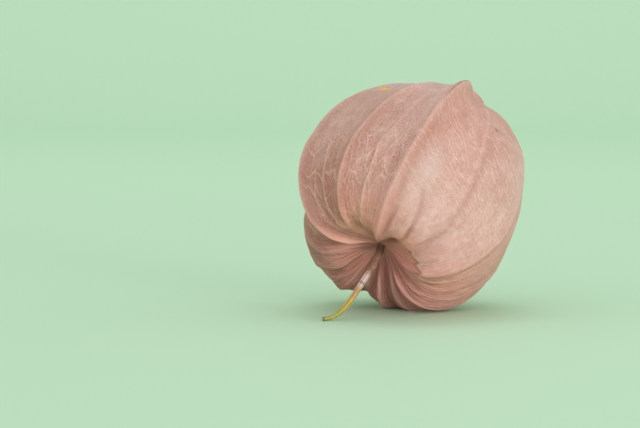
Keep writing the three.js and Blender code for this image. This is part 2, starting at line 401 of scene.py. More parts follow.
# %% Crinkles round the stalk
GATHER_UP = (0.11, 0.08)
GATHER_HEIGHT = 0.5
GATHER_CYLINDER = (8.0, 3.0)
GATHER_SHARPNESS = 7.0
CREASE_SPAN = (0.015, 0.05, 0.16, 0.3)
CREASE_CYLINDER = (16.0, 5.0)
CREASE_HALF_WIDTH = 0.03
SMOOTH_COLUMN = (5.9, 1.4)
SMOOTHING = 0.94


def smooth_side(column):
    """1 in the middle of the side where the skin runs smoothly into the pit."""
    return bell(column, *SMOOTH_COLUMN)


def gathers(column, up):
    """Small crinkles that run out from the stalk: 1 on their ridges, 0 between them."""
    place = on_cylinder(column, up, *GATHER_CYLINDER)
    cloud = noise(place, 1.0, detail=1.0, seed=9.0)
    return 1 - ((cloud - 0.5).maths("ABSOLUTE") * GATHER_SHARPNESS).maths("MINIMUM", 1.0)


def gathers_fade(column, up):
    return bell(up, *GATHER_UP) * (1 - smooth_side(column) * SMOOTHING)


def creases(column, up):
    """Lines between the gathers, too fine for the shape, so only the material has them, as painted
    shade and a bump.
    """
    place = on_cylinder(column, up, *CREASE_CYLINDER)
    cloud = noise(place, 1.0, detail=2.0, seed=16.0)
    fade = band(up, *CREASE_SPAN) * (1 - smooth_side(column))
    return bell(cloud, 0.5, CREASE_HALF_WIDTH) * fade


# %% Single folds and dents
# A row gives the middle as column and up, how many columns a fold runs aside for each unit
# up, half its length in units up, half its width in columns, and its height in millimetres.
FOLDS = [
    (5.28, 0.22, 0, 0.08, 0.08, 0.35),
    (5.17, 0.20, 0.4, 0.07, 0.04, -0.45),
    (5.66, 0.19, -1.1, 0.08, 0.05, -0.6),
    (5.50, 0.31, -2.2, 0.035, 0.05, -0.4),
    (6.08, 0.21, 1.3, 0.06, 0.05, -0.4),
    (5.55, 0.08, 0, 0.03, 0.14, -0.6),
    (5.00, 0.09, 0, 0.055, 0.18, -0.5),
    (5.50, 0.91, 0, 0.045, 0.6, 1.0),
    (4.50, 0.78, 0, 0.1, 0.4, 0.8),
    (6.90, 0.165, 0, 0.025, 0.15, 0.4),
    (0.50, 0.24, 0, 0.08, 0.11, -1.4),
    (1.42, 0.19, 0, 0.07, 0.1, -0.9),
    (9.75, 0.20, 0, 0.07, 0.1, -0.7),
]


def fold_relief(column, up):
    total = 0.0
    for middle, middle_up, lean, reach, width, height in FOLDS:
        line = lean * (up - middle_up) + middle
        across = bell(short_way(column, line), 0.0, width)
        total = across * bell(up, middle_up, reach) * height + total
    return total


# %% The hollow beside the stalk
# It ends in a sharp, wavy lip: LIP_UP is where, LIP_RISE how it climbs with the columns.
HOLLOW_COLUMN = 6.45
HOLLOW_WIDTH = 0.4
HOLLOW_SPAN = (5.77, 5.85, 7.2, 7.28)
HOLLOW_DEPTH = 0.3
HOLLOW_DEEPENS = (0.02, 0.11)
LIP_UP = 0.14
LIP_RISE = 0.035
LIP_WAVE = 0.085
LIP_WAVES = 3.6
LIP_STEEPNESS = 0.008
LIP_BAND = 0.016
LIP_SHARPENS = (5.9, 6.4)


def under_lip(column, up):
    """1 on the stalk's side of the lip, 0 beyond it."""
    place = up.nodes.join(column * LIP_WAVES, 0.0, 0.0)
    wave = noise(place, 1.0, detail=2.0, seed=1.0) - 0.5
    lip = wave * LIP_WAVE + (column - HOLLOW_COLUMN) * LIP_RISE + LIP_UP
    return 1 - smooth(up, lip - LIP_STEEPNESS, lip)


def hollow_relief(column, up):
    depth = bell(column, HOLLOW_COLUMN, HOLLOW_WIDTH) * smooth(up, *HOLLOW_DEEPENS)
    return -(under_lip(column, up) * (depth * HOLLOW_DEPTH))


# %% [markdown]
# ## The husk's veins
# Between the ribs runs a raised net, as in a leaf. A vein wanders up the middle of each
# panel, thinner ones zigzag beside it, and a mesh of long cells fills the rest. The sums
# work on the husk rolled out to a cylinder, so the cells grow narrower towards both ends, as
# the real ones do. The shape uses them, and the paper's material uses them again for its
# colours, so both draw the same lines. Where the skin is stretched flat the net hardly
# shows, and fine streaks run across the panel instead. Along the underside, fine furrows run
# with the ribs. Both are finer than the mesh, so only the material draws them.

# %% The husk rolled out
ROLLED_OUT_RADIUS = 24.0
ROLLED_OUT_LENGTH = 48.0
PANEL_WIDTH = 15.0


def rolled_out(column, up, across_scale=1.0, along_scale=1.0):
    """The place on that cylinder, in millimetres, or stretched or squeezed in one direction."""
    radius, length = ROLLED_OUT_RADIUS * across_scale, ROLLED_OUT_LENGTH * along_scale
    return on_cylinder(column, up, radius, length)


def panel_width(up):
    return (up * math.pi).maths("SINE") * PANEL_WIDTH


# %% Veins
# Half widths are in millimetres; at, share and sway in columns. bends and detail: how fast and
# how finely a sway changes up the husk. apart and start: where each vein's noise is read.
BROAD_VEIN = 0.34
FINE_VEIN = 0.14
MID_VEIN = {"at": 0.48, "sway": 0.2, "bends": 9.0, "detail": 2.0, "apart": 3.7, "start": 0.5}
THIN_VEIN = {"share": 0.25, "sway": 0.26, "bends": 24.0, "detail": 1.0, "apart": 2.3, "start": 4.5}
NET = {"stretch": 0.62, "cells": 0.34, "line": 0.075, "bends": 0.35, "bend": 2.4}
SKIN_ENDS = (0.05, 0.15), (0.06, 0.3)
VEINS_SINK = (0.42, 0.6)
SUNKEN_VEIN = 0.25


def skin_fade(up):
    """Nothing in the pit and at the point, 1 between them."""
    return fade_ends(up, *SKIN_ENDS)


def vein_fade(up):
    """Veins stand out up to the widest ring, and sink into the skin above it."""
    return skin_fade(up) * mix(SUNKEN_VEIN, 1.0, smooth(1 - up, *VEINS_SINK))


def wander(beside, line, up, vein, half_width):
    """A wandering line. beside: how far, in columns, its straight course is."""
    place = up.nodes.join(up * vein["bends"], line * vein["apart"], vein["start"])
    sway = noise(place, 1.0, detail=vein["detail"]) - 0.5
    return bell((beside - sway * vein["sway"]) * panel_width(up), 0.0, half_width)


def middle_veins(column, up, half_width):
    panel = column.maths("FLOOR")
    return wander(column - panel - MID_VEIN["at"], panel, up, MID_VEIN, half_width)


def thin_veins(column, up, half_width):
    """Zigzag lines, one of them along the middle vein and one along each rib."""
    line = (column / THIN_VEIN["share"]).maths("ROUND")
    return wander(column - line * THIN_VEIN["share"], line, up, THIN_VEIN, half_width)


def small_net(column, up):
    """A mesh of cells, longer than they are wide."""
    place = rolled_out(column, up, along_scale=NET["stretch"])
    bent = noise(place, NET["bends"], detail=1.0) * NET["bend"]
    shifted = up.nodes.vector("ADD", place, up.nodes.join(bent, bent, bent))
    return net(shifted, NET["cells"], NET["line"])


# %% Streaks and furrows
STREAK_SLANT = 0.11
STREAK_WAVER = 3.0
STREAK_HALF_WIDTH = 0.085
STREAK_SQUEEZE = 0.55
STREAK_SHOWS = (0.42, 0.58)
FURROWS_IN_PANEL = 12.0
FURROW_SQUEEZE = 0.35
FURROW_WAVER = 4.0
FURROW_HALF_WIDTH = 0.17
FURROW_SPAN = (0.08, 0.16, 0.42, 0.62)
UNDER_COLUMN = 9.2
UNDER_HALF_WIDTH = 2.2


def cross_streaks(column, up, gap, seed):
    """Fine wavering lines, gap millimetres apart, that run slantwise across the panels."""
    slant = up + (column - column.maths("FLOOR")) * STREAK_SLANT
    waver = noise(rolled_out(column, slant), 0.3, detail=2.0, seed=seed)
    step = (slant * ROLLED_OUT_LENGTH + waver * STREAK_WAVER) / gap
    line = bell((step.maths("FRACT") - 0.5) * gap, 0.0, STREAK_HALF_WIDTH)
    place = rolled_out(column, slant, across_scale=STREAK_SQUEEZE)
    shown = noise(place, 0.9, detail=1.0, seed=seed + 3.0)
    return line * smooth(shown, *STREAK_SHOWS)


def underside(column):
    """1 in the middle of the husk's underside, 0 on its top."""
    return bell(short_way(column, UNDER_COLUMN), 0.0, UNDER_HALF_WIDTH)


def fine_furrows(column, up):
    """Many fine parallel lines that run with the ribs along the underside."""
    place = rolled_out(column, up, along_scale=FURROW_SQUEEZE)
    waver = noise(place, 0.25, detail=2.0, seed=11.0) * FURROW_WAVER
    step = (column * FURROWS_IN_PANEL + waver).maths("FRACT")
    return bell(step, 0.5, FURROW_HALF_WIDTH) * band(up, *FURROW_SPAN) * underside(column)


# %% [markdown]
# ## Growing the husk
# The tree starts from a flat grid: one direction is the column, the other runs up the outer
# skin, over the rim of the mouth, and back down the inner skin. Moving every point of it to
# its place on the husk gives one closed wall, once the points that meet at the seam and at
# the two poles are merged. The columns gather towards the ribs, where the form turns
# sharply. Before the merge, each corner of each face stores its column and up as a UV map,
# which the paper's material reads. Last the husk is turned to how it lies, and flattened
# where it would reach below the surface.

# %% How the husk lies and how fine it is
AXIS_AZIMUTH = 59.6
AXIS_RISE = 41.8
HUSK_CENTRE = Vector((-2.2, -0.7, 21.85))
TIP_LEAN = 4.4
TIP_LEAN_CURVE = 2.5
TIP_LEAN_TOWARDS = math.radians(233)
TIP_BEND = 1.5
TIP_BEND_CURVE = 12.0
TIP_BEND_TOWARDS = math.radians(339)
MOUTH_UP = 0.985
TOOTH_UP = 0.004
DENT_ROOM = 1.4
DENT_UP = (0.15, 0.14)
BUCKLES = {"scale": 0.13, "height": 1.1}
VEIN_HEIGHTS = {"middle": 0.28, "thin": 0.05, "net": 0.16}
VEINS_FROM_RIB = (0.0, 0.3)
PANEL_COLUMNS = 42
OUTER_ROWS = 216
INNER_ROWS = 14
COLUMN_GATHERING = 0.5
INNER_ROW_GATHERING = 0.7
MERGE_DISTANCE = 0.0005
PLACE_MAP = "place"
VEINED = "veined"


def gathered(even, strength):
    """Spaces even steps closer together towards whole numbers."""
    return even - (even * (2 * math.pi)).maths("SINE") * (strength / (2 * math.pi))


# %% Looking up the ribs on both sides of a column
def read_rib(nodes, table, index, up):
    """A rib's values, and its longitude at a place up."""
    rib = {}
    for name in RIB_VALUES:
        value = nodes.add("GeometryNodeInputNamedAttribute", {"data_type": "FLOAT"}, {"Name": name})
        sockets = {"Geometry": table, "Value": value, "Index": index}
        rib[name] = nodes.add("GeometryNodeSampleIndex", {"data_type": "FLOAT"}, sockets)
    rib["longitude"] = rib["angle"] + rib["wander"] * (up - WANDER_UP)
    return rib


# %% The husk's tree
def husk_tree(inputs):
    steps = len(RIBS) * PANEL_COLUMNS
    rows = OUTER_ROWS + 1 + INNER_ROWS
    nodes, given = new_tree("husk", inputs)
    grid_sockets = {"Size X": 1.0, "Size Y": 1.0, "Vertices X": steps + 1, "Vertices Y": rows + 1}
    grid = nodes.add("GeometryNodeMeshGrid", {}, grid_sockets)
    place = split(nodes.add("GeometryNodeInputPosition"))

    # The grid is 1 wide and 1 high, with its middle at 0.
    column = gathered((place.out("X") + 0.5) * float(len(RIBS)), COLUMN_GATHERING)
    mouth = MOUTH_UP - (column * math.pi).maths("COSINE") * TOOTH_UP
    row = ((place.out("Y") + 0.5) * float(rows)).maths("ROUND")
    inside = row.maths("GREATER_THAN", OUTER_ROWS + 0.5)
    outer_share = row / float(OUTER_ROWS)
    inner_share = gathered((rows - row) / float(INNER_ROWS), INNER_ROW_GATHERING)
    up = mouth * mix(outer_share, inner_share, inside)

    index = column.maths("FLOOR").maths("MINIMUM", len(RIBS) - 1.0)
    left = read_rib(nodes, given["Geometry"], index, up)
    right = read_rib(nodes, given["Geometry"], index + 1, up)
    across = column - index
    left["across"] = across
    arch = across * (1 - across) * 4.0

    radius, height = body_outline(up, given)
    out_radius, out_height = body_normal(up, given)
    cloud = noise(rolled_out(column, up), BUCKLES["scale"], detail=3.0, seed=4.0)
    buckle = (cloud - 0.5) * BUCKLES["height"] * skin_fade(up)
    form = broad_relief(up, arch, left, right) + buckle
    skin = keel_relief(up, radius, left, right) + pleat_relief(up, arch, left)
    skin = skin + fold_relief(column, up) + hollow_relief(column, up)
    skin = skin + (gathers(column, up) - 0.5) * gathers_fade(column, up) * GATHER_HEIGHT
    thin = thin_veins(column, up, FINE_VEIN) * VEIN_HEIGHTS["thin"]
    fine = thin + small_net(column, up) * VEIN_HEIGHTS["net"]
    middle = middle_veins(column, up, BROAD_VEIN) * VEIN_HEIGHTS["middle"]
    veins = (middle + fine * smooth(arch, *VEINS_FROM_RIB)) * left["vein"]
    skin = skin + veins * vein_fade(up)
    room = (left["pleat"] + DENT_ROOM) * bell(up, *DENT_UP)
    deepest = -room - given["Wall"]
    relief = form + mix(skin, deepest, inside)

    radius = (radius + out_radius * relief).maths("MAXIMUM", 0.0)
    height = height + out_height * relief
    longitude = mix(left["longitude"], right["longitude"], across) * DEGREE
    whole_length = given["Base length"] + given["Tip length"]
    share = ((height + given["Base length"]) / whole_length).maths("MAXIMUM", 0.0)
    lean, bend = share ** TIP_LEAN_CURVE * TIP_LEAN, share ** TIP_BEND_CURVE * TIP_BEND
    upright = nodes.join(
        radius * longitude.maths("COSINE") + lean * math.cos(TIP_LEAN_TOWARDS)
        + bend * math.cos(TIP_BEND_TOWARDS),
        radius * longitude.maths("SINE") + lean * math.sin(TIP_LEAN_TOWARDS)
        + bend * math.sin(TIP_BEND_TOWARDS),
        height,
    )
    lay_down = {"rotation_type": "EULER_XYZ"}
    turn = (0.0, math.radians(90 - AXIS_RISE), math.radians(AXIS_AZIMUTH))
    laid = nodes.add("ShaderNodeVectorRotate", lay_down, {"Vector": upright, "Rotation": turn})
    parts = split(nodes.vector("ADD", laid, HUSK_CENTRE))
    above_floor = parts.out("Z").maths("MAXIMUM", inside * given["Wall"])
    metres = nodes.vector("SCALE", nodes.join(parts, parts.out("Y"), above_floor), MM)

    uv = nodes.join(column / float(len(RIBS)), up, 0.0)
    stored = store(nodes, grid, PLACE_MAP, uv, "FLOAT2", "CORNER")
    stored = store(nodes, stored, VEINED, left["vein"], domain="CORNER")
    moved = nodes.add("GeometryNodeSetPosition", {}, {"Geometry": stored, "Position": metres})
    merge = {"Geometry": moved, "Distance": MERGE_DISTANCE * MM}
    merged = nodes.add("GeometryNodeMergeByDistance", {}, merge)
    close_tree(nodes, merged, given["Material"])
    return nodes


# %% [markdown]
# ## Paper
# The husk was orange, and has faded to a dusty salmon pink. It is thin enough for light to
# glow through, so it gets a little scattering under its surface, and it is dry, so it is
# rough. Its colour is built up in layers as a painter would: a mottled ground, paler lines
# along the veins and small flecks, over which light and shade are painted: painted shade in
# the pleats and folds, painted highlights on the crests, and paler patches painted where the
# light falls. The finest crinkles are too small for the mesh, and go into a bump.

# %% Colours and a material to start from
def screen(colour):
    """A colour as seen on a screen, 0 to 255, in the units that a material takes."""
    parts = [part / 255 for part in colour]
    return (*[p / 12.92 if p < 0.04045 else ((p + 0.055) / 1.055) ** 2.4 for p in parts], 1.0)


def new_material(name):
    material = bpy.data.materials.new(name)
    material.use_nodes = True
    material.node_tree.nodes.clear()
    return material, Nodes(material.node_tree)


def close_material(nodes, sockets):
    shader = nodes.add("ShaderNodeBsdfPrincipled", {}, sockets)
    nodes.add("ShaderNodeOutputMaterial", {}, {"Surface": shader})


def blend(first, second, share):
    """A colour between two colours, each a link or a plain colour."""
    sockets = {"Factor": share, "A": first, "B": second}
    return share.nodes.add("ShaderNodeMix", {"data_type": "RGBA"}, sockets, output="Result")


def paint(ground, layers):
    """Lays colours of the paper over a ground, one after the other."""
    for name, share in layers:
        ground = blend(ground, screen(PAPER[name]), share)
    return ground


# %% Colours of the paper
PAPER = {
    "salmon": (195, 146, 134),
    "pale salmon": (203, 159, 149),
    "brown patch": (184, 132, 117),
    "pale bloom": (226, 192, 182),
    "dark speck": (140, 98, 86),
    "lilac": (200, 184, 184),
    "faded": (205, 172, 158),
    "painted light on the lower right": (228, 186, 182),
    "dust and painted highlight": (240, 220, 216),
    "warm painted shade near the stalk": (212, 128, 115),
    "warm painted shade underneath": (204, 130, 122),
    "vein": (236, 192, 174),
    "streak": (246, 214, 202),
    "crest": (232, 184, 168),
    "rib shade": (158, 104, 86),
    "peak line": (104, 86, 78),
    "fold shade": (138, 80, 68),
    "painted shade under the lip": (200, 130, 114),
    "pit": (118, 72, 64),
}

# %% Spots, flecks, and painted light and shade
# A row gives the middle as column and up, half the width and half the height in millimetres,
# the colour, and how much of it shows in the middle.
SPOTS = [
    # The yellow mark, and the dark flecks.
    (3.19, 0.713, 1.3, 0.5, (240, 203, 70), 0.8),
    (3.35, 0.7, 1.2, 0.8, (232, 140, 72), 0.5),
    (6.2, 0.665, 0.45, 0.22, (92, 62, 54), 0.9),
    (6.08, 0.665, 0.35, 0.2, (102, 72, 60), 0.6),
    (5.47, 0.63, 0.5, 0.4, (136, 122, 120), 0.5),
    # Painted light and painted shade, with a few pale blooms of the paper's own: pale patches
    # where the light falls on the panels and the folds round the stalk, and dark ones where shade
    # falls, beside the ribs, in the creases and hollows round the stalk and along the underside.
    (5.34, 0.44, 2.4, 3.8, (222, 206, 202), 0.45),
    (5.4, 0.35, 2.4, 2.6, (222, 204, 198), 0.2),
    (6.9, 0.6, 4, 6, (204, 186, 176), 0.35),
    (5.25, 0.6, 5, 10, (170, 108, 90), 0.36),
    (6.45, 0.58, 8, 10, (172, 140, 127), 0.3),
    (5.15, 0.82, 2.6, 6, (176, 122, 108), 0.3),
    (4.88, 0.6, 1.4, 5, (240, 204, 188), 0.4),
    (4.85, 0.2, 2, 5, (226, 142, 126), 0.4),
    (3.65, 0.22, 6, 6, (184, 98, 82), 0.36),
    (7.35, 0.38, 4, 5, (222, 150, 138), 0.35),
    (4.72, 0.19, 1.2, 4, (250, 176, 158), 0.45),
    (1.45, 0.15, 2.4, 3.4, (240, 172, 156), 0.55),
    (2.4, 0.08, 2.4, 2.6, (226, 150, 132), 0.5),
    (9.35, 0.09, 3, 3, (160, 128, 116), 0.3),
    (4.4, 0.17, 3.6, 2.6, (242, 178, 160), 0.7),
    (3.6, 0.09, 5.4, 2.6, (255, 192, 174), 0.9),
    (5.85, 0.13, 3, 2.6, (248, 166, 150), 0.75),
    (7.85, 0.195, 6.4, 4.8, (255, 178, 163), 0.98),
    (8.6, 0.3, 6, 4, (240, 184, 168), 0.3),
    (9.97, 0.13, 2.2, 3, (96, 62, 54), 0.75),
    (0.95, 0.2, 3, 3.2, (108, 74, 64), 0.6),
    (3.3, 0.32, 6, 5, (146, 96, 82), 0.4),
    (6.75, 0.46, 0.8, 1.8, (226, 196, 190), 0.4),
    (5.58, 0.06, 1.3, 2, (98, 58, 54), 0.8),
    (8.4, 0.13, 2.2, 3, (112, 76, 68), 0.35),
    (3.13, 0.23, 2.6, 4.5, (168, 140, 132), 0.4),
    (4.2, 0.54, 6, 5, (150, 98, 82), 0.3),
    (4.8, 0.8, 2.6, 7, (240, 208, 194), 0.5),
    (9.9, 0.2, 7, 5, (120, 82, 72), 0.5),
    (1.9, 0.24, 4, 4.5, (126, 86, 74), 0.65),
    (2.0, 0.03, 0.7, 2, (84, 54, 48), 0.6),
    (4.5, 0.17, 2.8, 3.6, (240, 156, 138), 0.6),
    # The point, which is still a little green.
    (9.98, 0.99, 9, 1.2, (214, 204, 90), 0.9),
]
SPOT_UNEVENNESS = 2.4


def with_spots(ground, skin):
    cloud = noise(skin["place"], 420.0, detail=2.0, seed=12.0)
    uneven = (cloud - 0.5) * SPOT_UNEVENNESS
    for column, up, half_width, half_height, colour, most in SPOTS:
        across = short_way(skin["column"], column) * skin["width"] / half_width
        along = (skin["up"] - up) * (ROLLED_OUT_LENGTH / half_height)
        share = (uneven - across * across - along * along).maths("EXPONENT").maths("MINIMUM", 1.0)
        ground = blend(ground, screen(colour), share * most)
    return ground


# %% Reading the skin
def read_skin(nodes):
    """What the layers of colour follow: the place on the husk, and how far the ribs are."""
    uv = split(nodes.add("ShaderNodeUVMap", {"uv_map": PLACE_MAP}))
    column, up = uv.out("X") * float(len(RIBS)), uv.out("Y")
    beside = column - column.maths("ROUND")
    width = panel_width(up)
    return {
        "column": column,
        "up": up,
        "width": width,
        "veined": nodes.add("ShaderNodeAttribute", {"attribute_name": VEINED}, output="Fac"),
        "place": nodes.add("ShaderNodeTexCoord", output="Object"),
        "from rib": beside.maths("ABSOLUTE") * 2.0,
        "rib distance": beside * width,
    }


# %% A mottled, speckled ground
# How many clouds there are to a metre, their detail, and their seed.
CLOUDS = {
    "mottle": (170.0, 4.0, 0.0),
    "patches": (75.0, 4.0, 2.0),
    "blooms": (420.0, 3.0, 8.0),
    "dull": (230.0, 3.0, 14.0),
    "dusty": (800.0, 3.0, 15.0),
}
BACK_SPAN = (0.6, 2.2, 4.6, 5.1)
SKIRT_COLUMN = (6.5, 1.5)
SKIRT_UP = (0.2, 0.16)


def mottled_ground(skin, grain):
    """Each layer is a colour, with the share of it that shows. Veined skin has more of most."""
    column, up, veined = skin["column"], skin["up"], skin["veined"]
    cloud = {name: noise(skin["place"], *sizes) for name, sizes in CLOUDS.items()}
    upper = smooth(up, 0.38, 0.5) * veined
    uneven = mix(0.14, 0.36, veined) + upper * 0.2
    back = band(column, *BACK_SPAN)
    skirt = bell(column, *SKIRT_COLUMN) * bell(up, *SKIRT_UP)
    side = smooth_side(column)
    salmon, pale = screen(PAPER["salmon"]), screen(PAPER["pale salmon"])
    ground = blend(salmon, pale, smooth(cloud["mottle"], 0.35, 0.65))
    return paint(ground, [
        ("brown patch", smooth(cloud["patches"], 0.45, 0.7) * mix(0.15, 0.7, veined)),
        ("pale bloom", smooth(cloud["blooms"], 0.5, 0.7) * uneven),
        ("brown patch", (1 - smooth(cloud["blooms"], 0.3, 0.46)) * uneven),
        ("pale bloom", smooth(grain, 0.52, 0.72) * (mix(0.3, 0.6, veined) + upper * 0.25)),
        ("dark speck", (1 - smooth(grain, 0.3, 0.48)) * (mix(0.3, 0.55, veined) + upper * 0.25)),
        ("faded", smooth(up, 0.36, 0.52) * back * 0.45),
        ("lilac", smooth(up, 0.62, 0.8) * back * 0.55),
        # Painted light: the lower right, beside the stalk, is painted paler where the light falls,
        # with pale flecks in it.
        ("painted light on the lower right", skirt * mix(0.45, 0.95, smooth(cloud["dull"], 0.38, 0.62))),
        ("dust and painted highlight", skirt * smooth(cloud["dusty"], 0.48, 0.62) * 0.45),
        ("dark speck", (1 - smooth(cloud["blooms"], 0.34, 0.5)) * underside(column) * 0.35),
        # Warm painted shade round the stalk.
        ("warm painted shade near the stalk", bell(up, 0.0, mix(0.32, 0.2, side)) * mix(0.6, 0.85, side)),
    ])


# %% Veins, streaks, and painted light and shade along the ribs
# Distances from a rib and half widths, in millimetres.
CREST_HALF_WIDTH = 0.4
RIB_SHADE = (1.5, 0.9)
PEAK_COLUMN = (5.0, 0.4)
PEAK_LINE_HALF_WIDTH = 0.22


def with_lines(ground, skin, veins, streaks, furrows):
    up, distance = skin["up"], skin["rib distance"]
    beyond_pit = smooth(up, 0.03, 0.1)
    crest = bell(distance, 0.0, CREST_HALF_WIDTH)
    shade = bell(distance, *RIB_SHADE) * beyond_pit
    on_peak = bell(skin["column"], *PEAK_COLUMN) * smooth(up, 0.58, 0.68)
    return paint(ground, [
        ("vein", veins * 0.75),
        ("streak", streaks * 0.32),
        ("streak", furrows * 0.42),
        # Painted highlight along the crests, and painted shade beside the ribs.
        ("crest", crest * beyond_pit * mix(0.12, 0.45, skin["veined"])),
        ("rib shade", shade * (1 - smooth(up, 0.5, 0.7)) * 0.3),
        ("peak line", bell(distance, 0.0, PEAK_LINE_HALF_WIDTH) * on_peak * 0.7),
    ])


# %% Painted shade and painted light on the folds round the stalk
NARROW_COLUMN, NARROW_HALF_WIDTH = 9.9, 0.9
RIDGE_HALF_WIDTH = 0.2
RIDGE_UP = (0.12, 0.07)
SHADED_PLEAT = (0.2, 0.5, 0.5, 0.9)
SHADED_PLEAT_UP = (0.11, 0.09)
PIT_EDGE = 0.06
WARM_SHADE_UP_TO = 22 * MM


def with_folds(ground, skin):
    column, up, from_rib = skin["column"], skin["up"], skin["from rib"]
    valley = (1 - gathers(column, up)) * gathers_fade(column, up)
    grooves = (-fold_relief(column, up)).maths("MAXIMUM", 0.0).maths("MINIMUM", 1.0)
    narrow = bell(short_way(column, NARROW_COLUMN), 0.0, NARROW_HALF_WIDTH)
    ridge = bell(from_rib, 1.0, RIDGE_HALF_WIDTH) + bell(from_rib, 0.0, RIDGE_HALF_WIDTH)
    ridge = ridge * bell(up, *RIDGE_UP)
    pleat = band(from_rib, *SHADED_PLEAT) * (1 - smooth_side(column)) * bell(up, *SHADED_PLEAT_UP)
    beside = band(column, *HOLLOW_SPAN)
    # Painted shade under the lip, darker in a band just inside it, and a pale band beyond it
    # painted as the lit edge where the skin turns towards the light.
    under = under_lip(column, up) * beside
    at_rim = smooth(column, *LIP_SHARPENS) * beside
    inside = (1 - under_lip(column, up + LIP_BAND)) * under * at_rim
    beyond = under_lip(column, up - LIP_BAND) * (1 - under) * at_rim
    height = split(skin["place"]).out("Z")
    # Painted shade in the gathers, the creases, the grooves, the pleats and the pit, and painted
    # highlights on the ridges beside the stalk.
    return paint(ground, [
        ("fold shade", valley * mix(0.15, 0.4, 1 - smooth(up, 0.02, 0.1))),
        ("fold shade", creases(column, up) * 0.38),
        ("fold shade", grooves * 0.6),
        ("crest", ridge * mix(0.08, 0.6, narrow)),
        ("fold shade", pleat * mix(0.1, 0.75, narrow)),
        ("painted shade under the lip", under * 0.5),
        ("fold shade", inside * 0.35),
        ("dust and painted highlight", beyond * 0.3),
        ("pit", (1 - smooth(up, 0.0, PIT_EDGE)) * 0.42),
        # Warm painted shade, lower down the husk.
        ("warm painted shade underneath", (1 - smooth(height, 2 * MM, WARM_SHADE_UP_TO)) * 0.3),
    ])


# %% The paper's material
GRAIN_SCALE = 2600.0
STREAK_GAPS = (1.0, 0.65)
STREAKS_FROM = (0.24, 0.38)
SCRIBBLES = {"stretch": 0.8, "cells": 0.95, "line": 0.16, "share": 0.16}


def paper():
    material, nodes = new_material("husk_paper")
    skin = read_skin(nodes)
    column, up, veined = skin["column"], skin["up"], skin["veined"]
    grain = noise(skin["place"], GRAIN_SCALE, detail=2.0, seed=5.0)
    fine = thin_veins(column, up, FINE_VEIN) * 0.25 + small_net(column, up) * 0.5
    fine = fine * smooth(skin["from rib"], 0.05, 0.25)
    veins = middle_veins(column, up, FINE_VEIN * 1.15) + fine
    veins = (veins * veined).maths("MINIMUM", 1.0) * vein_fade(up)
    place = rolled_out(column, up, along_scale=SCRIBBLES["stretch"])
    scribbles = net(place, SCRIBBLES["cells"], SCRIBBLES["line"]) * veined
    scribbles = scribbles * smooth(skin["from rib"], 0.1, 0.5) * skin_fade(up)
    streaks = cross_streaks(column, up, STREAK_GAPS[0], 3.0)
    streaks = streaks + cross_streaks(column, up, STREAK_GAPS[1], 13.0) * 0.7
    streaks = streaks.maths("MINIMUM", 1.0) * (1 - veined) * skin_fade(up)
    streaks = streaks * smooth(up, *STREAKS_FROM)
    furrows = fine_furrows(column, up)

    ground = mottled_ground(skin, grain)
    ground = with_spots(ground, skin)
    ground = paint(ground, [("vein", scribbles * SCRIBBLES["share"])])
    ground = with_lines(ground, skin, veins, streaks, furrows)
    ground = with_folds(ground, skin)

    crinkle = noise(rolled_out(column, up), 1.1, detail=4.0, seed=7.0)
    height = crinkle * 0.35 + grain * mix(0.2, 0.32, veined) + veins * 0.6 + streaks * 0.12
    height = height + furrows * 0.6 + scribbles * 0.16 - creases(column, up) * 0.5
    bump = nodes.add("ShaderNodeBump", {}, {"Strength": 0.6, "Distance": 0.0005, "Height": height})
    close_material(nodes, {
        "Base Color": ground,
        "Roughness": mix(0.72, 0.9, grain),
        "Normal": bump,
        "Subsurface Weight": 0.12,
        "Subsurface Radius": (1.0, 0.45, 0.3),
        "Subsurface Scale": 0.0012,
        "Specular IOR Level": 0.3,
    })
    print(material.name, "has", len(nodes.tree.nodes), "nodes")
    return material


# %% The husk
husk_inputs = {**HUSK_SIZES, "Material": paper()}
husk_nodes = husk_tree(husk_inputs)
husk = grow("lantern_husk", rib_points(), husk_nodes, husk_inputs)
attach(husk, BODY)
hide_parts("husk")
print("husk tree has", len(husk_nodes.tree.nodes), "nodes")

# %% [markdown]
# ## The stalk
# The stalk is a furrowed rod that follows a curved line from the bottom of the pit down to
# the surface, where its cut end lies. A line swept with a profile is what Curve to Mesh
# does. The starting object is one poly line through the stalk's few route points, which the
# tree smooths. Its profile is a circle pressed in along five furrows, and its thickness
# follows a sum of the distance along it.

# %% The stalk's route and sizes
STALK_ROUTE = [
    (-6.35, -7.75, 14.6), (-6.75, -8.5, 13.75), (-7.2, -9.8, 12.3), (-8.3, -11.2, 10.3),
    (-9.7, -12.7, 8.3), (-11.1, -14.1, 6.2), (-12.5, -15.4, 4.2), (-13.9, -16.5, 2.5),
    (-15.3, -17.4, 1.25), (-16.5, -18.0, 0.66), (-17.6, -18.5, 0.44),
]
STALK_SIZES = {"Radius": 0.65, "Root flare": 0.3, "Cut taper": 0.2, "Furrow depth": 0.08}
STALK_FURROWS = 5.0
ROOT_END = 0.2
CUT_FROM = 0.8
LUMP_HEIGHT = 0.12
FRAYED_FROM = 0.975
FRAY_X, FRAY_Y = -1.3, -0.6
STALK_SIDES = 40
STALK_RINGS = 160


def stalk_line():
    curve = bpy.data.curves.new("stalk_line", "CURVE")
    curve.dimensions = "3D"
    spline = curve.splines.new("POLY")
    spline.points.add(len(STALK_ROUTE) - 1)
    for point, place in zip(spline.points, STALK_ROUTE):
        point.co = (*(part * MM for part in place), 1.0)
    return add_object("stalk_line", curve)


